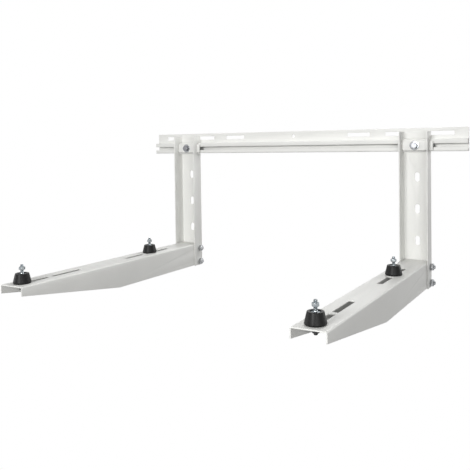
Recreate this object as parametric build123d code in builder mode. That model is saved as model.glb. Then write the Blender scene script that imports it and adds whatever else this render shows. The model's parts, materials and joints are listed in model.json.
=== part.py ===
from build123d import *
from math import radians, sqrt, tan
import os

os.makedirs("parts", exist_ok=True)

# Wall bracket for the outdoor unit of an air conditioner, in millimetres.
# X runs along the wall rail, +Y points into the wall and +Z up. The origin is the middle of the
# rail's back face, which lies against the wall. Left and right are as seen from the front.

# Wall rail: one rolled strip, folded double above its channel
rail_length = 800.0
rail_height = 50.0
rail_sheet = 1.2
rail_fold_gap = 0.1
rail_inner_bend = 1.2
channel_height = 26.0
channel_depth = 15.5
slit_height = 8.0
slit_rise = 12.5
rail_slot_length = 53.0
rail_slot_height = 8.5
rail_slot_corner = 1.0
rail_slot_drop = 11.5
rail_slot_margin = 29.0
rail_slot_gaps = (42.0, 35.0)
rail_hole_diameter = 8.0

# Folded steel sheet of the uprights and the arms
sheet = 2.0
inner_bend = 1.0
upright_inner_bend = 3.0
cut_corner = 1.0

# Uprights: channels whose web lies on the rail
bracket_inset = 106.4
upright_drop = 7.5
upright_length = 328.0
upright_depth = 35.0
notch_clearance = 0.5
notch_relief = 1.5
wall_hole_width = 10.0
wall_hole_height = 20.0
wall_hole_drop = 97.0
wall_hole_pitch = 68.0
wall_hole_count = 3

# Arms: channels that open downwards and taper to their tip
arm_width = 55.8
arm_side_clearance = 0.3
arm_web_clearance = 2.2
arm_reach = 563.5
arm_height = 52.5
arm_tip_height = 16.5
arm_knee_reach = 310.0
arm_knee_bend = 12.0
arm_tip_corner = 4.0
arm_rise = 1.5

# Slots in the top of each arm, a short and a long one in each pair
slot_width = 11.0
slot_short = 65.0
slot_long = 75.0
slot_bridge = 9.0
slot_pair_pitch = 282.0
slot_tip_margin = 19.5

# Clamp that holds each upright on the rail
clamp_length = 74.0
clamp_height = 20.0
clamp_thickness = 3.0
clamp_clearance = 0.3
clamp_headroom = 1.3
clamp_drop = 0.4
clamp_raise = 4.0
clamp_raised_length = 47.0
clamp_joggle = 2.0
clamp_inner_bend = 0.5
bearing_strip = 2.0
washer_diameter = 20.0
washer_bore = 8.4
washer_thickness = 1.5
channel_nut_length = 76.0
channel_nut_height = 20.0
channel_nut_thickness = 6.0

# Hexagon bolts and nuts with an M8 thread
bolt_diameter = 8.0
bolt_hole = 9.0
bolt_flats = 13.0
bolt_head_height = 5.3
bolt_nut_height = 6.5
clamp_bolt_length = 20.0
arm_bolt_length = 14.0
arm_bolt_reach = 15.5
arm_bolt_drop = 11.0
arm_bolt_pitch = 33.5

# Rubber mounts with an M6 stud at each end
rubber_base_diameter = 32.6
rubber_foot_diameter = 30.0
rubber_top_diameter = 24.4
rubber_height = 18.7
rubber_foot_height = 2.2
rubber_round = 0.8
disc_diameter = 13.2
disc_thickness = 1.5
disc_recess = 0.8
disc_clearance = 1.4
stud_diameter = 6.0
top_stud_rise = 16.0
bottom_stud_length = 14.5
stud_nut_flats = 10.0
stud_nut_height = 5.0
top_nut_gap = 6.5
bottom_nut_gap = 6.5
front_mount_setback = 5.3
rear_mount_setback = 10.5

# Shared by all threads and hexagons
thread_clearance = 0.1
thread_chamfer = 0.8
bore_chamfer = 0.6
hexagon_chamfer_angle = 30.0
hexagon_ring = 0.95

# Heights on the rail
rail_top = rail_height / 2
rail_bottom = -rail_height / 2
channel_top = rail_bottom + channel_height
clamp_line = rail_bottom + slit_rise
slit_top = clamp_line + slit_height / 2
slit_bottom = clamp_line - slit_height / 2
rail_flat = 2 * rail_sheet + rail_fold_gap
rail_outer_bend = rail_inner_bend + rail_sheet

# Places of the rail's slots, from its ends towards its middle
rail_slot_places = [rail_length / 2 - rail_slot_margin - rail_slot_length / 2]
for gap in rail_slot_gaps:
    rail_slot_places.append(rail_slot_places[-1] - rail_slot_length - gap)

# Depths and heights of the uprights
outer_bend = inner_bend + sheet
upright_outer_bend = upright_inner_bend + sheet
upright_width = arm_width + 2 * (arm_side_clearance + sheet)
upright_top = rail_top - upright_drop
upright_bottom = upright_top - upright_length
web_front = rail_flat + sheet
flange_front = rail_flat + upright_depth
notch_front = channel_depth + notch_clearance
clamp_back = notch_front + bearing_strip
raised_back = clamp_back + clamp_raise
raised_front = raised_back + clamp_thickness

# Each clamp plate hangs a little below its bolt, in a slot with room above it
clamp_middle = clamp_line - clamp_drop
clamp_slot_depth = clamp_thickness + clamp_clearance
clamp_slot_height = clamp_height + clamp_clearance + clamp_headroom
clamp_slot_middle = clamp_middle + (clamp_headroom - clamp_clearance) / 2

# Depths and heights of the arms
arm_bottom = upright_bottom + arm_rise
arm_top = arm_bottom + arm_height
arm_rear = web_front + arm_web_clearance
first_pair_end = arm_reach - slot_tip_margin
pair_ends = (first_pair_end, first_pair_end - slot_pair_pitch)
arm_bolt_heights = {
    "upper": arm_top - arm_bolt_drop,
    "lower": arm_top - arm_bolt_drop - arm_bolt_pitch,
}

# Places of the two brackets and of the two mounts on each arm
bracket_places = {"left": bracket_inset - rail_length / 2, "right": rail_length / 2 - bracket_inset}
mount_reaches = {
    "front": pair_ends[0] - front_mount_setback,
    "rear": pair_ends[1] - slot_short - slot_bridge - rear_mount_setback,
}


def finish(piece, name):
    """Label one finished piece and write its STEP file."""
    piece.part.label = name
    export_step(piece.part, f"parts/{name}.step")


def beside(seat):
    """The plane that holds a seat's axis, with its local x outwards and its local y along it."""
    return Plane(seat.origin, x_dir=seat.x_dir, z_dir=-seat.y_dir)


def turn(seat, corners, mode=Mode.ADD):
    """Turn an outline of (radius, height) corners about a seat's axis, in the open part."""
    with BuildSketch(beside(seat)) as outline:
        with BuildLine():
            Polyline(*corners, close=True)
        make_face()
    revolve(outline.sketch, axis=Axis(seat.origin, seat.z_dir), mode=mode)


def raise_hexagon(seat, flats, height, chamfer_below):
    """Raise a hexagon from a seat and turn off its corners above, and below if asked."""
    corner = flats / sqrt(3)
    ring = flats / 2 * hexagon_ring
    drop = (corner - ring) * tan(radians(hexagon_chamfer_angle))
    below = [(ring, 0), (corner, drop)] if chamfer_below else [(corner, 0)]
    with BuildSketch(seat) as hexagon:
        RegularPolygon(flats / 2, 6, major_radius=False)
    extrude(hexagon.sketch, amount=height)
    turn(seat, [(0, 0), *below, (corner, height - drop), (ring, height), (0, height)], Mode.INTERSECT)


def make_bolt(seat, length):
    """A hexagon bolt: its head stands on the seat and its shank runs the other way."""
    radius = bolt_diameter / 2
    with BuildPart() as bolt:
        raise_hexagon(seat, bolt_flats, bolt_head_height, chamfer_below=False)
        turn(seat, [(0, 0), (radius, 0), (radius, thread_chamfer - length),
                    (radius - thread_chamfer, -length), (0, -length)])
    return bolt


def make_nut(seat, flats, height, thread):
    """A hexagon nut that stands on the seat, its bore chamfered at both ends."""
    bore = thread / 2 + thread_clearance
    mouth = bore + bore_chamfer
    with BuildPart() as nut:
        raise_hexagon(seat, flats, height, chamfer_below=True)
        turn(seat, [(0, 0), (mouth, 0), (bore, bore_chamfer), (bore, height - bore_chamfer),
                    (mouth, height), (0, height)], Mode.SUBTRACT)
    return nut


# Wall rail
def make_wall_rail():
    """Roll the strip: upper lip, channel top, front layer, fold, back layer, bottom, lower lip."""
    fold_start = rail_top - rail_flat / 2
    with BuildPart() as rail:
        with BuildSketch(Plane.YZ):
            with BuildLine():
                FilletPolyline(
                    (-channel_depth, slit_top), (-channel_depth, channel_top),
                    (-rail_flat, channel_top), (-rail_flat, fold_start),
                    radius=(rail_outer_bend, rail_inner_bend),
                )
                ThreePointArc((-rail_flat, fold_start), (-rail_flat / 2, rail_top), (0, fold_start))
                FilletPolyline(
                    (0, fold_start), (0, rail_bottom),
                    (-channel_depth, rail_bottom), (-channel_depth, slit_bottom),
                    radius=rail_outer_bend,
                )
                offset(amount=rail_sheet, side=Side.LEFT)
            make_face()
        extrude(amount=rail_length / 2, both=True)
        with BuildSketch(Plane.XZ):
            with Locations(*[(side * place, rail_top - rail_slot_drop)
                             for place in rail_slot_places for side in (-1, 1)]):
                RectangleRounded(rail_slot_length, rail_slot_height, rail_slot_corner)
            with Locations((0, rail_top - rail_slot_drop)):
                Circle(rail_hole_diameter / 2)
        extrude(amount=rail_flat, mode=Mode.SUBTRACT)
    return rail


# Uprights
def make_upright(centre):
    """A channel with its web at the back, notched to pass the rail's channel."""
    half = upright_width / 2
    corner_depth = rail_flat + upright_outer_bend
    with BuildPart() as upright:
        with BuildSketch(Plane.XY.offset(upright_bottom)):
            with BuildLine():
                FilletPolyline(
                    (centre - half, -flange_front), (centre - half, -rail_flat),
                    (centre + half, -rail_flat), (centre + half, -flange_front),
                    radius=upright_outer_bend,
                )
                offset(amount=sheet, side=Side.RIGHT)
            make_face()
        extrude(amount=upright_length)

        # Notch for the rail's channel, higher at the web to pass the rail's bend
        with BuildSketch(Plane.YZ.offset(centre)):
            with BuildLine():
                Polyline(
                    (0, rail_bottom - notch_clearance), (-notch_front, rail_bottom - notch_clearance),
                    (-notch_front, channel_top), (-corner_depth, channel_top),
                    (-corner_depth, channel_top + notch_relief), (0, channel_top + notch_relief),
                    close=True,
                )
            make_face()
        extrude(amount=half, both=True, mode=Mode.SUBTRACT)

        # Slot for the clamp plate and holes for the arm's bolts, through both flanges
        with BuildSketch(Plane.YZ.offset(centre)):
            with Locations((-clamp_back - clamp_slot_depth / 2, clamp_slot_middle)):
                Rectangle(clamp_slot_depth, clamp_slot_height)
            with Locations(*[(-arm_bolt_reach, height) for height in arm_bolt_heights.values()]):
                Circle(bolt_hole / 2)
        extrude(amount=half, both=True, mode=Mode.SUBTRACT)

        # Wall holes in the web
        with BuildSketch(Plane.XZ):
            with Locations(*[(centre, upright_top - wall_hole_drop - wall_hole_pitch * number)
                             for number in range(wall_hole_count)]):
                SlotOverall(wall_hole_height, wall_hole_width, rotation=90)
        extrude(amount=web_front, mode=Mode.SUBTRACT)
    return upright


# Arms
def make_arm(centre):
    """A channel that opens downwards, cut to its side outline and slotted in the top."""
    half = arm_width / 2
    with BuildPart() as arm:
        with BuildSketch(Plane.XZ.offset(arm_rear)):
            with BuildLine():
                FilletPolyline(
                    (centre - half, arm_bottom), (centre - half, arm_top),
                    (centre + half, arm_top), (centre + half, arm_bottom),
                    radius=outer_bend,
                )
                offset(amount=sheet, side=Side.RIGHT)
            make_face()
        extrude(amount=arm_reach - arm_rear)

        # Side outline: full height from the wall to the knee, then tapering to the tip
        with BuildSketch(Plane.YZ.offset(centre)):
            with BuildLine():
                FilletPolyline(
                    (-arm_rear, arm_top), (-arm_rear, arm_bottom), (-arm_knee_reach, arm_bottom),
                    (-arm_reach, arm_top - arm_tip_height), (-arm_reach, arm_top),
                    radius=(0, arm_knee_bend, arm_tip_corner, 0, 0), close=True,
                )
            make_face()
        extrude(amount=half, both=True, mode=Mode.INTERSECT)

        # Bolt holes through both flanges
        with BuildSketch(Plane.YZ.offset(centre)):
            with Locations(*[(-arm_bolt_reach, height) for height in arm_bolt_heights.values()]):
                Circle(bolt_hole / 2)
        extrude(amount=half, both=True, mode=Mode.SUBTRACT)

        # Slots in the top
        with BuildSketch(Plane.XY.offset(arm_top)):
            for end in pair_ends:
                with Locations((centre, slot_short / 2 - end)):
                    RectangleRounded(slot_width, slot_short, cut_corner)
                with Locations((centre, slot_short + slot_bridge + slot_long / 2 - end)):
                    RectangleRounded(slot_width, slot_long, cut_corner)
        extrude(amount=-sheet, mode=Mode.SUBTRACT)
    return arm


# Clamps
def make_clamp_plate(centre):
    """A flat bar through both flanges, pressed forward between them."""
    end = clamp_length / 2
    crest = clamp_raised_length / 2
    foot = crest + clamp_joggle
    wide_bend = clamp_inner_bend + clamp_thickness
    with BuildPart() as plate:
        with BuildSketch(Plane.XY.offset(clamp_middle - clamp_height / 2)):
            with BuildLine():
                FilletPolyline(
                    (centre - end, -clamp_back), (centre - foot, -clamp_back),
                    (centre - crest, -raised_back), (centre + crest, -raised_back),
                    (centre + foot, -clamp_back), (centre + end, -clamp_back),
                    radius=(wide_bend, clamp_inner_bend, clamp_inner_bend, wide_bend),
                )
                offset(amount=clamp_thickness, side=Side.RIGHT)
            make_face()
        extrude(amount=clamp_height)
        with BuildSketch(Plane.XZ):
            with Locations((centre, clamp_middle)):
                RectangleRounded(clamp_length, clamp_height, cut_corner)
                Circle(bolt_hole / 2, mode=Mode.SUBTRACT)
        extrude(amount=raised_front, mode=Mode.INTERSECT)
    return plate


def make_clamp_washer(centre):
    with BuildPart() as washer:
        with BuildSketch(Plane.XZ.offset(raised_front)):
            with Locations((centre, clamp_line)):
                Circle(washer_diameter / 2)
                Circle(washer_bore / 2, mode=Mode.SUBTRACT)
        extrude(amount=washer_thickness)
    return washer


def make_channel_nut(centre):
    """A threaded bar that lies behind the two lips of the rail's channel."""
    with BuildPart() as bar:
        with BuildSketch(Plane.XZ.offset(channel_depth - rail_sheet)):
            with Locations((centre, clamp_line)):
                Rectangle(channel_nut_length, channel_nut_height)
                Circle(bolt_diameter / 2 + thread_clearance, mode=Mode.SUBTRACT)
        extrude(amount=-channel_nut_thickness)
    return bar


# Rubber mounts
def make_rubber(seat):
    """A truncated cone whose foot narrows again, and a recess for a stud's disc at each end."""
    recess = disc_diameter / 2 + disc_clearance
    base = rubber_base_diameter / 2
    foot = rubber_foot_diameter / 2
    top = rubber_top_diameter / 2
    top_floor = rubber_height - disc_recess - disc_thickness
    with BuildPart() as rubber:
        turn(seat, [(0, disc_thickness), (recess, disc_thickness), (recess, 0), (foot, 0),
                    (base, rubber_foot_height), (top, rubber_height), (recess, rubber_height),
                    (recess, top_floor), (0, top_floor)])
        top_edges = rubber.edges().filter_by(GeomType.CIRCLE).group_by(Axis.Z)[-1]
        fillet(top_edges.sort_by(SortBy.RADIUS)[-1], rubber_round)
    return rubber


def make_stud(seat, length):
    """A disc that stands on the seat, with a stud in its middle."""
    disc = disc_diameter / 2
    radius = stud_diameter / 2
    with BuildPart() as stud:
        turn(seat, [(0, 0), (disc, 0), (disc, disc_thickness), (radius, disc_thickness),
                    (radius, length - thread_chamfer), (radius - thread_chamfer, length), (0, length)])
    return stud


# The rail, then both brackets with all their pieces
finish(make_wall_rail(), "wall_rail")

for bracket, centre in bracket_places.items():
    finish(make_upright(centre), f"{bracket}_upright")
    finish(make_arm(centre), f"{bracket}_arm")
    finish(make_clamp_plate(centre), f"{bracket}_clamp_plate")
    finish(make_clamp_washer(centre), f"{bracket}_clamp_washer")
    finish(make_channel_nut(centre), f"{bracket}_channel_nut")
    head_place = (centre, -raised_front - washer_thickness, clamp_line)
    clamp_seat = Plane(head_place, x_dir=(1, 0, 0), z_dir=(0, -1, 0))
    finish(make_bolt(clamp_seat, clamp_bolt_length), f"{bracket}_clamp_bolt")

    # The outer flange is the one farther from the middle of the rail
    outward = 1 if centre > 0 else -1
    for flange, side in (("outer", outward), ("inner", -outward)):
        head_face = centre + side * (arm_width / 2 - sheet)
        nut_face = centre + side * upright_width / 2
        for level, height in arm_bolt_heights.items():
            head_seat = Plane((head_face, -arm_bolt_reach, height), x_dir=(0, 1, 0), z_dir=(-side, 0, 0))
            nut_seat = Plane((nut_face, -arm_bolt_reach, height), x_dir=(0, 1, 0), z_dir=(side, 0, 0))
            finish(make_bolt(head_seat, arm_bolt_length), f"{bracket}_arm_bolt_{flange}_{level}")
            nut = make_nut(nut_seat, bolt_flats, bolt_nut_height, bolt_diameter)
            finish(nut, f"{bracket}_arm_nut_{flange}_{level}")

    for place, reach in mount_reaches.items():
        name = f"{bracket}_{place}_mount"
        base = Plane((centre, -reach, arm_top))
        finish(make_rubber(base), f"{name}_rubber")

        disc_seat = base.offset(rubber_height - disc_recess - disc_thickness)
        finish(make_stud(disc_seat, disc_thickness + disc_recess + top_stud_rise), f"{name}_top_stud")
        nut_seat = base.offset(rubber_height + top_nut_gap)
        nut = make_nut(nut_seat, stud_nut_flats, stud_nut_height, stud_diameter)
        finish(nut, f"{name}_top_nut")

        lower_seat = Plane((centre, -reach, arm_top + disc_thickness), x_dir=(1, 0, 0), z_dir=(0, 0, -1))
        finish(make_stud(lower_seat, disc_thickness + bottom_stud_length), f"{name}_bottom_stud")
        nut_seat = base.offset(-bottom_nut_gap - stud_nut_height)
        nut = make_nut(nut_seat, stud_nut_flats, stud_nut_height, stud_diameter)
        finish(nut, f"{name}_bottom_nut")
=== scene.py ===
"""Looks of a wall bracket for the outdoor unit of an air conditioner, in metres.

X runs along the wall rail, +Y points into the wall and +Z up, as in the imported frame.
"""

import json
import math

import bpy
from mathutils import Matrix, Vector


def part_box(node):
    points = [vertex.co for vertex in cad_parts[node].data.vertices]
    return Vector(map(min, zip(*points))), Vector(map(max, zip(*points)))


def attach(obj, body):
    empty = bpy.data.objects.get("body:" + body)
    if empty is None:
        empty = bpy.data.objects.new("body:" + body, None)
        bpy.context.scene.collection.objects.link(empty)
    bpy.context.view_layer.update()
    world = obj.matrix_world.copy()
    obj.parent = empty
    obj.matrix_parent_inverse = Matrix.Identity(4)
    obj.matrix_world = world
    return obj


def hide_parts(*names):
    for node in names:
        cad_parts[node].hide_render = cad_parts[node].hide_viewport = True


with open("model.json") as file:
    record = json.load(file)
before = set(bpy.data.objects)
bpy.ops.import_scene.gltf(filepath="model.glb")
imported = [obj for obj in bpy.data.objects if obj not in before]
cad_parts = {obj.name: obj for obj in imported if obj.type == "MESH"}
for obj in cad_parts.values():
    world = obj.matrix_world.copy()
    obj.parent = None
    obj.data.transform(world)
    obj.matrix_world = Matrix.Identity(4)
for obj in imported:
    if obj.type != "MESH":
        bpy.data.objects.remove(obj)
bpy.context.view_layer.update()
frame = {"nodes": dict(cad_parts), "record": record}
nodes = frame["nodes"]

SIDES = ("left", "right")
PLACES = ("front", "rear")
ENDS = ("top", "bottom")
FLANGES = ("outer", "inner")
LEVELS = ("upper", "lower")

# Directions
UP, DOWN = (0, 0, 1), (0, 0, -1)
RIGHT, LEFT = (1, 0, 0), (-1, 0, 0)
INTO_WALL = (0, 1, 0)

# Merging of a node's triangles, and the angles that count as flat, sharp and smooth
MERGE_DISTANCE = 1e-6
FLAT_ANGLE = math.radians(0.5)
EDGE_ANGLE = math.radians(35)
SMOOTH_ANGLE = math.radians(30)
THREAD_SMOOTH = math.radians(22)

# Radii of softened edges
RAIL_EDGE = 0.0003
SHEET_EDGE = 0.0004
PLATE_EDGE = 0.0005
SMALL_EDGE = 0.00012
RUBBER_EDGE = 0.0005
EDGE_SEGMENTS = 3
SMALL_EDGE_SEGMENTS = 2

# Threads: M6 on the studs and M8 on the bolts, as shares of the pitch where they scale with it
STUD_RADIUS, STUD_PITCH = 0.003, 0.001
BOLT_RADIUS, BOLT_PITCH = 0.004, 0.00125
THREAD_FILL = 0.97
THREAD_DEPTH = 0.7
THREAD_STEPS = 32
TOP_THREAD = 0.0155
BOTTOM_THREAD = 0.0135
ARM_BOLT_THREAD = 0.011
CLAMP_BOLT_THREAD = 0.014

# Photograph: its width in pixels, and where the camera's axis meets it
PHOTO_WIDTH = 470
AXIS_COLUMN = 264.64
AXIS_ROW = 164.68
FOCAL_PIXELS = 608.56
SENSOR_WIDTH = 36.0

# Camera in the frame, with its turn to the left, its dip and its roll in radians
CAMERA_PLACE = Vector((0.63342, -1.29622, -0.01438))
CAMERA_TURN = -0.5028
CAMERA_DIP = 0.0270
CAMERA_ROLL = -0.0120
CLIP_START = 0.05

# Patterns of the finishes: cycles per metre and detail
COAT_CLOUDS, COAT_PEEL, COAT_WAVES = (14.0, 3.0), (900.0, 2.0), (160.0, 1.0)
ZINC_BLOTCHES, ZINC_GRAIN = (420.0, 3.0), (2600.0, 2.0)
RUBBER_BLOTCHES, RUBBER_GRAIN = (260.0, 4.0), (2200.0, 2.0)

# Bumps of the finishes: height in metres and strength
PEEL_BUMP, WAVES_BUMP = (0.00003, 0.5), (0.00005, 0.4)
ZINC_BUMP, RUBBER_BUMP = (0.00002, 0.4), (0.00004, 0.5)

# Where each finish turns from one tint to the other, and how much that changes
COAT_TURN, ZINC_TURN, RUBBER_TURN = (0.35, 0.68), (0.35, 0.65), (0.3, 0.75)
COAT_DARKER = 0.965
ZINC_COOLER = (0.86, 0.90, 0.97)
ZINC_SMOOTHER, ZINC_ROUGHER = 0.06, 0.10
RUBBER_LIGHTER = 1.7

# Sheen of the coat and the rubber, and the tint of metal at its rims, which paints a dark reflection
# there
COAT_ROUGHNESS, COAT_SPECULAR = (0.40, 0.50), 0.28
RUBBER_ROUGHNESS, RUBBER_SPECULAR = (0.34, 0.48), 0.14
PAINTED_RIM_REFLECTION = (0.25, 0.26, 0.27)

# Studio: the light of the world and the floor, which both look white
WORLD_FILL = 0.25
FLOOR_HEIGHT, FLOOR_SIZE = -1.3, 12.0
FLOOR_GREY = (0.10, 0.10, 0.10)
FLOOR_ROUGHNESS = 0.9

# Soft lamps: place, target, width, height and watts
LAMPS = {
    "front": ((0.0, -2.6, 0.42), (-0.1, -0.2, -0.10), 0.8, 0.5, 36.0),
    "front_right": ((1.5, -2.1, 0.0), (0.0, -0.2, -0.15), 1.0, 0.6, 16.0),
    "left": ((-2.4, -1.2, -0.1), (0.0, -0.3, -0.15), 1.0, 0.8, 7.0),
    "back_right": ((1.4, 1.4, 0.3), (-0.2, -0.1, -0.15), 0.8, 0.8, 11.5),
    "back_left": ((-1.4, 2.4, 0.7), (0.0, 0.0, -0.10), 1.6, 1.2, 6.0),
    "above": ((0.1, -0.05, 0.75), (-0.3, -0.2, -0.20), 0.4, 0.4, 2.4),
    "above_back": ((0.1, 0.7, 0.75), (-0.3, -0.2, -0.20), 0.4, 0.4, 4.0),
}


# Materials
def new_material(name):
    """A node material with only its output and a Principled shader."""
    material = bpy.data.materials.new(name)
    material.use_nodes = True
    return material, material.node_tree.nodes, material.node_tree.links


def noise(tree_nodes, links, pattern, vector):
    """A noise pattern on the piece."""
    scale, detail = pattern
    texture = tree_nodes.new("ShaderNodeTexNoise")
    texture.inputs["Scale"].default_value = scale
    texture.inputs["Detail"].default_value = detail
    links.new(vector, texture.inputs["Vector"])
    return texture.outputs["Fac"]


def ramp(tree_nodes, links, source, turn, colors):
    """A colour that goes from one tint to another as the source rises."""
    color_ramp = tree_nodes.new("ShaderNodeValToRGB")
    for element, position, color in zip(color_ramp.color_ramp.elements, turn, colors):
        element.position = position
        element.color = (*color, 1)
    links.new(source, color_ramp.inputs["Fac"])
    return color_ramp.outputs["Color"]


def bump(tree_nodes, links, height, size, normal=None):
    """A bump from a height pattern, on top of another normal if one is given."""
    distance, strength = size
    node = tree_nodes.new("ShaderNodeBump")
    node.inputs["Distance"].default_value = distance
    node.inputs["Strength"].default_value = strength
    links.new(height, node.inputs["Height"])
    if normal is not None:
        links.new(normal, node.inputs["Normal"])
    return node.outputs["Normal"]


def map_range(tree_nodes, links, source, limits):
    """The source's 0 to 1 spread over the limits."""
    low, high = limits
    node = tree_nodes.new("ShaderNodeMapRange")
    node.inputs["To Min"].default_value = low
    node.inputs["To Max"].default_value = high
    links.new(source, node.inputs["Value"])
    return node.outputs["Result"]


def powder_coat(name, color):
    """Off-white powder coat: satin, with a fine orange-peel skin and a faint cloudiness."""
    material, tree_nodes, links = new_material(name)
    shader = tree_nodes["Principled BSDF"]
    place = tree_nodes.new("ShaderNodeTexCoord").outputs["Object"]
    clouds = noise(tree_nodes, links, COAT_CLOUDS, place)
    peel = noise(tree_nodes, links, COAT_PEEL, place)
    waves = noise(tree_nodes, links, COAT_WAVES, place)
    darker = tuple(COAT_DARKER * part for part in color)
    tint = ramp(tree_nodes, links, clouds, COAT_TURN, (darker, color))
    links.new(tint, shader.inputs["Base Color"])
    links.new(map_range(tree_nodes, links, clouds, COAT_ROUGHNESS), shader.inputs["Roughness"])
    fine = bump(tree_nodes, links, peel, PEEL_BUMP)
    links.new(bump(tree_nodes, links, waves, WAVES_BUMP, fine), shader.inputs["Normal"])
    shader.inputs["Specular IOR Level"].default_value = COAT_SPECULAR
    return material


def plated(name, color, roughness):
    """Zinc plating: metal with fine, faintly blue blotches, and a painted dark reflection at its rims.
    """
    material, tree_nodes, links = new_material(name)
    shader = tree_nodes["Principled BSDF"]
    place = tree_nodes.new("ShaderNodeTexCoord").outputs["Object"]
    blotches = noise(tree_nodes, links, ZINC_BLOTCHES, place)
    grain = noise(tree_nodes, links, ZINC_GRAIN, place)
    cooler = tuple(share * part for share, part in zip(ZINC_COOLER, color))
    tint = ramp(tree_nodes, links, blotches, ZINC_TURN, (cooler, color))
    links.new(tint, shader.inputs["Base Color"])
    limits = (roughness - ZINC_SMOOTHER, roughness + ZINC_ROUGHER)
    links.new(map_range(tree_nodes, links, blotches, limits), shader.inputs["Roughness"])
    links.new(bump(tree_nodes, links, grain, ZINC_BUMP), shader.inputs["Normal"])
    shader.inputs["Metallic"].default_value = 1.0
    # The dark tint at the rims is a painted reflection, as of a dark room seen at grazing angles.
    shader.inputs["Specular Tint"].default_value = (*PAINTED_RIM_REFLECTION, 1)
    return material


def moulded_rubber(name, color):
    """Black rubber: satin, faintly blotched, with a fine moulded grain."""
    material, tree_nodes, links = new_material(name)
    shader = tree_nodes["Principled BSDF"]
    place = tree_nodes.new("ShaderNodeTexCoord").outputs["Object"]
    blotches = noise(tree_nodes, links, RUBBER_BLOTCHES, place)
    grain = noise(tree_nodes, links, RUBBER_GRAIN, place)
    lighter = tuple(RUBBER_LIGHTER * part for part in color)
    tint = ramp(tree_nodes, links, blotches, RUBBER_TURN, (color, lighter))
    links.new(tint, shader.inputs["Base Color"])
    links.new(map_range(tree_nodes, links, blotches, RUBBER_ROUGHNESS), shader.inputs["Roughness"])
    shader.inputs["Specular IOR Level"].default_value = RUBBER_SPECULAR
    links.new(bump(tree_nodes, links, grain, RUBBER_BUMP), shader.inputs["Normal"])
    return material


COAT = powder_coat("off_white_coat", (0.79, 0.79, 0.765))
ZINC = plated("zinc_plating", (0.42, 0.42, 0.415), 0.24)
STUD_ZINC = plated("stud_zinc_plating", (0.38, 0.40, 0.40), 0.22)
BOLT_ZINC = plated("bolt_zinc_plating", (0.22, 0.22, 0.225), 0.38)
# Zinc darkened for the studs and nuts under the arms: painted shade of the arms, not a finish of their
# own.
SHADED_ZINC = plated("shaded_zinc_plating", (0.07, 0.07, 0.07), 0.42)
DARK_STEEL = plated("dark_steel", (0.16, 0.16, 0.15), 0.45)
RUBBER = moulded_rubber("black_rubber", (0.008, 0.008, 0.008))
FINISHES = {
    "rail_coat": COAT, "upright_coat": COAT, "arm_coat": COAT, "clamp_coat": COAT,
    "zinc": ZINC, "mount_zinc": STUD_ZINC, "dark_steel": DARK_STEEL, "rubber": RUBBER,
}
SLOTS = {row["node"]: row["material_slot"] for row in frame["record"]["subparts"]}


def dress(piece, material):
    """Give a piece one material and no other."""
    piece.data.materials.clear()
    piece.data.materials.append(material)


for node_name, finish_slot in SLOTS.items():
    dress(nodes[node_name], FINISHES[finish_slot])


# Handling of pieces
def hold(piece):
    """Select only this piece and make it active."""
    bpy.ops.object.select_all(action="DESELECT")
    piece.select_set(True)
    bpy.context.view_layer.objects.active = piece


def take_copy(node_name, piece_name):
    """A piece with a node's own shape, its loose triangles merged into whole faces."""
    piece = bpy.data.objects.new(piece_name, nodes[node_name].data.copy())
    bpy.context.scene.collection.objects.link(piece)
    hold(piece)
    bpy.ops.object.mode_set(mode="EDIT")
    bpy.ops.mesh.select_all(action="SELECT")
    bpy.ops.mesh.remove_doubles(threshold=MERGE_DISTANCE)
    bpy.ops.mesh.dissolve_limited(angle_limit=FLAT_ANGLE)
    bpy.ops.object.mode_set(mode="OBJECT")
    return piece


def soften_edges(piece, width, segments):
    """Round every sharp edge."""
    bevel = piece.modifiers.new("soft_edges", "BEVEL")
    bevel.width = width
    bevel.segments = segments
    bevel.limit_method = "ANGLE"
    bevel.angle_limit = EDGE_ANGLE
    bevel.use_clamp_overlap = False
    bevel.loop_slide = False
    hold(piece)
    bpy.ops.object.modifier_apply(modifier=bevel.name)
    bpy.ops.object.shade_smooth_by_angle(angle=SMOOTH_ANGLE)


def cut_away(piece, cutter):
    """Cut one closed shape out of a piece and drop the cutter."""
    cut = piece.modifiers.new("cut", "BOOLEAN")
    cut.operation = "DIFFERENCE"
    cut.solver = "EXACT"
    cut.object = cutter
    hold(piece)
    bpy.ops.object.modifier_apply(modifier=cut.name)
    bpy.data.objects.remove(cutter)


def finish_of(node_name):
    """The finish of a node's slot, but duller on the clamp bolts, and with painted shade below the
    mounts.
    """
    # Studs and nuts below the mounts get painted shade: a darkened copy of the same zinc.
    if "_mount_bottom_" in node_name:
        return SHADED_ZINC
    if "_clamp_bolt" in node_name:
        return BOLT_ZINC
    return FINISHES[SLOTS[node_name]]


def stand_for(piece, node_name):
    """Let a finished piece ride on the frame in a node's place, with that node's finish."""
    dress(piece, finish_of(node_name))
    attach(piece, "root")
    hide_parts(node_name)


def middle(node_name):
    """The middle of a node's box."""
    low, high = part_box(node_name)
    return (low + high) / 2


def repeat_at(master, master_node, node_name, piece_name):
    """A copy of a finished piece, with its own mesh, moved from one node's place to another's."""
    piece = bpy.data.objects.new(piece_name, master.data.copy())
    bpy.context.scene.collection.objects.link(piece)
    hold(piece)
    bpy.ops.object.mode_set(mode="EDIT")
    bpy.ops.mesh.select_all(action="SELECT")
    bpy.ops.transform.translate(value=middle(node_name) - middle(master_node))
    bpy.ops.object.mode_set(mode="OBJECT")
    stand_for(piece, node_name)


# Folded sheet pieces, whose coat rounds every cut edge
def coat_sheet_pieces():
    """Each folded sheet piece gets rounded edges of its own."""
    edges = {"wall_rail": RAIL_EDGE}
    for side in SIDES:
        edges[f"{side}_upright"] = SHEET_EDGE
        edges[f"{side}_arm"] = SHEET_EDGE
        edges[f"{side}_clamp_plate"] = PLATE_EDGE
    for node_name, width in edges.items():
        piece = take_copy(node_name, f"{node_name}_coated")
        soften_edges(piece, width, EDGE_SEGMENTS)
        stand_for(piece, node_name)


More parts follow.
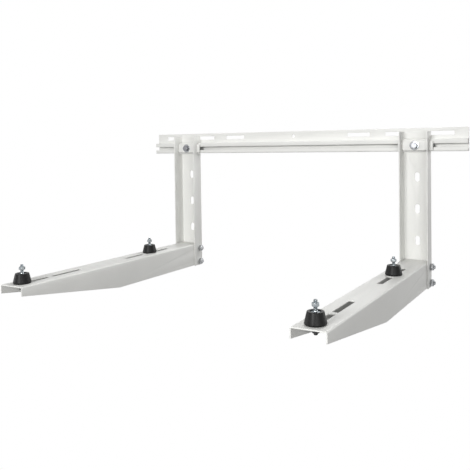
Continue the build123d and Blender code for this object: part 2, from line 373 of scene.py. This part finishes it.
# Threads
def thread_cutter(tip, way, length, radius, pitch):
    """A helical groove of a 60 degree thread, from just past a shank's tip and along it."""
    side = THREAD_FILL * pitch
    reach = side / math.sqrt(3)
    root = radius - THREAD_DEPTH * pitch
    bpy.ops.object.select_all(action="DESELECT")
    bpy.ops.mesh.primitive_circle_add(
        vertices=3, radius=reach, fill_type="NOTHING", location=(root + reach, 0, -length),
        rotation=(math.pi / 2, -math.pi / 2, 0))
    cutter = bpy.context.object
    bpy.ops.object.transform_apply()
    turns = cutter.modifiers.new("turns", "SCREW")
    turns.screw_offset = pitch
    turns.iterations = math.ceil(length / pitch) + 1
    turns.steps = turns.render_steps = THREAD_STEPS
    bpy.ops.object.modifier_apply(modifier=turns.name)
    bpy.ops.object.mode_set(mode="EDIT")
    bpy.ops.mesh.select_all(action="SELECT")
    bpy.ops.mesh.fill_holes(sides=3)
    bpy.ops.mesh.select_all(action="SELECT")
    bpy.ops.mesh.normals_make_consistent(inside=False)
    bpy.ops.object.mode_set(mode="OBJECT")
    cutter.rotation_euler = Vector(way).to_track_quat("Z", "Y").to_euler()
    cutter.location = tip
    bpy.ops.object.transform_apply()
    return cutter


def shank_end(node_name, way):
    """The middle of a node's end face, on the side that a direction points to."""
    low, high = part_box(node_name)
    half = (high - low) / 2
    return middle(node_name) + Vector([part * step for part, step in zip(half, way)])


def thread_shank(node_name, way, length, radius, pitch):
    """A node's own shape with a thread cut into its shank."""
    piece = take_copy(node_name, f"{node_name}_threaded")
    soften_edges(piece, SMALL_EDGE, SMALL_EDGE_SEGMENTS)
    cut_away(piece, thread_cutter(shank_end(node_name, way), way, length, radius, pitch))
    hold(piece)
    bpy.ops.object.shade_smooth_by_angle(angle=THREAD_SMOOTH)
    stand_for(piece, node_name)
    return piece


def thread_alike(node_names, way, length, radius, pitch):
    """Thread the first of some nodes that are alike, and repeat it at the others."""
    first, *others = node_names
    master = thread_shank(first, way, length, radius, pitch)
    for node_name in others:
        repeat_at(master, first, node_name, f"{node_name}_threaded")


def thread_studs_and_bolts():
    """Studs, arm bolts and clamp bolts, each kind from one threaded piece."""
    for end, way, length in (("top", UP, TOP_THREAD), ("bottom", DOWN, BOTTOM_THREAD)):
        names = [f"{side}_{place}_mount_{end}_stud" for side in SIDES for place in PLACES]
        thread_alike(names, way, length, STUD_RADIUS, STUD_PITCH)
    for way, flanges in ((RIGHT, (("left", "inner"), ("right", "outer"))),
                         (LEFT, (("left", "outer"), ("right", "inner")))):
        names = [f"{side}_arm_bolt_{flange}_{level}" for side, flange in flanges for level in LEVELS]
        thread_alike(names, way, ARM_BOLT_THREAD, BOLT_RADIUS, BOLT_PITCH)
    names = [f"{side}_clamp_bolt" for side in SIDES]
    thread_alike(names, INTO_WALL, CLAMP_BOLT_THREAD, BOLT_RADIUS, BOLT_PITCH)


# Nuts and washers
def finish_nuts_and_washers():
    """The first nut or washer of each kind gets its softened edges, and the others repeat it."""
    kinds = [
        [f"{side}_{place}_mount_{end}_nut" for side in SIDES for place in PLACES for end in ENDS],
        [f"{side}_arm_nut_{flange}_{level}" for side in SIDES for flange in FLANGES for level in LEVELS],
        [f"{side}_clamp_washer" for side in SIDES],
        [f"{side}_channel_nut" for side in SIDES],
    ]
    for first, *others in kinds:
        master = take_copy(first, f"{first}_plated")
        soften_edges(master, SMALL_EDGE, SMALL_EDGE_SEGMENTS)
        stand_for(master, first)
        for node_name in others:
            repeat_at(master, first, node_name, f"{node_name}_plated")


# Rubber mounts
def mould_rubbers():
    """The first rubber gets rounded lips, and the others repeat it."""
    names = [f"{side}_{place}_mount_rubber" for side in SIDES for place in PLACES]
    first, *others = names
    master = take_copy(first, f"{first}_moulded")
    soften_edges(master, RUBBER_EDGE, EDGE_SEGMENTS)
    stand_for(master, first)
    for node_name in others:
        repeat_at(master, first, node_name, f"{node_name}_moulded")


coat_sheet_pieces()
thread_studs_and_bolts()
finish_nuts_and_washers()
mould_rubbers()


# Camera
def place_camera():
    """Stand the camera where the photograph was taken from."""
    ahead = Vector((math.sin(CAMERA_TURN) * math.cos(CAMERA_DIP),
                    math.cos(CAMERA_TURN) * math.cos(CAMERA_DIP), -math.sin(CAMERA_DIP)))
    level_right = ahead.cross(Vector(UP)).normalized()
    level_up = level_right.cross(ahead)
    right = math.cos(CAMERA_ROLL) * level_right + math.sin(CAMERA_ROLL) * level_up
    up = math.cos(CAMERA_ROLL) * level_up - math.sin(CAMERA_ROLL) * level_right
    lens = bpy.data.cameras.new("photo_camera")
    lens.sensor_fit = "HORIZONTAL"
    lens.sensor_width = SENSOR_WIDTH
    lens.lens = FOCAL_PIXELS / PHOTO_WIDTH * SENSOR_WIDTH
    lens.shift_x = (PHOTO_WIDTH / 2 - AXIS_COLUMN) / PHOTO_WIDTH
    lens.shift_y = (AXIS_ROW - PHOTO_WIDTH / 2) / PHOTO_WIDTH
    lens.clip_start = CLIP_START
    camera = bpy.data.objects.new("photo_camera", lens)
    turn = Matrix((right, up, -ahead)).transposed().to_4x4()
    camera.matrix_world = Matrix.Translation(CAMERA_PLACE) @ turn
    bpy.context.scene.collection.objects.link(camera)
    bpy.context.scene.camera = camera


place_camera()


# Studio
def soft_lamp(name, place, target, width, height, power):
    """A soft lamp that faces its target."""
    light = bpy.data.lights.new(name, "AREA")
    light.shape = "RECTANGLE"
    light.size = width
    light.size_y = height
    light.energy = power
    lamp = bpy.data.objects.new(name, light)
    lamp.location = place
    aim = Vector(target) - Vector(place)
    lamp.rotation_euler = aim.to_track_quat("-Z", "Y").to_euler()
    bpy.context.scene.collection.objects.link(lamp)


def seen_rays(tree_nodes, links):
    """1 for rays that show the background: from the camera, a mirror or through glass."""
    path = tree_nodes.new("ShaderNodeLightPath")
    first = tree_nodes.new("ShaderNodeMath")
    first.operation = "MAXIMUM"
    second = tree_nodes.new("ShaderNodeMath")
    second.operation = "MAXIMUM"
    links.new(path.outputs["Is Camera Ray"], first.inputs[0])
    links.new(path.outputs["Is Glossy Ray"], first.inputs[1])
    links.new(first.outputs[0], second.inputs[0])
    links.new(path.outputs["Is Transmission Ray"], second.inputs[1])
    return second.outputs[0]


def white_world(fill):
    """A white world to look at, and a dimmer one that lights the object."""
    world = bpy.data.worlds.new("studio")
    bpy.context.scene.world = world
    world.use_nodes = True
    tree_nodes, links = world.node_tree.nodes, world.node_tree.links
    strength = tree_nodes.new("ShaderNodeMapRange")
    strength.inputs["To Min"].default_value = fill
    strength.inputs["To Max"].default_value = 1.0
    links.new(seen_rays(tree_nodes, links), strength.inputs["Value"])
    links.new(strength.outputs["Result"], tree_nodes["Background"].inputs["Strength"])
    tree_nodes["Background"].inputs["Color"].default_value = (1, 1, 1, 1)


def pale_floor(height, size):
    """A plain pale floor well below the bracket, white where it is seen."""
    bpy.ops.object.select_all(action="DESELECT")
    bpy.ops.mesh.primitive_plane_add(size=size, location=(0, 0, height))
    floor = bpy.context.object
    floor.name = "floor"
    material, tree_nodes, links = new_material("pale_floor")
    shader = tree_nodes["Principled BSDF"]
    shader.inputs["Base Color"].default_value = (*FLOOR_GREY, 1)
    shader.inputs["Roughness"].default_value = FLOOR_ROUGHNESS
    glow = tree_nodes.new("ShaderNodeEmission")
    mix = tree_nodes.new("ShaderNodeMixShader")
    links.new(seen_rays(tree_nodes, links), mix.inputs["Fac"])
    links.new(shader.outputs[0], mix.inputs[1])
    links.new(glow.outputs[0], mix.inputs[2])
    links.new(mix.outputs[0], tree_nodes["Material Output"].inputs["Surface"])
    dress(floor, material)


white_world(WORLD_FILL)
pale_floor(FLOOR_HEIGHT, FLOOR_SIZE)
for lamp_name, setting in LAMPS.items():
    soft_lamp(lamp_name, *setting)

bpy.context.scene.view_settings.view_transform = "Standard"
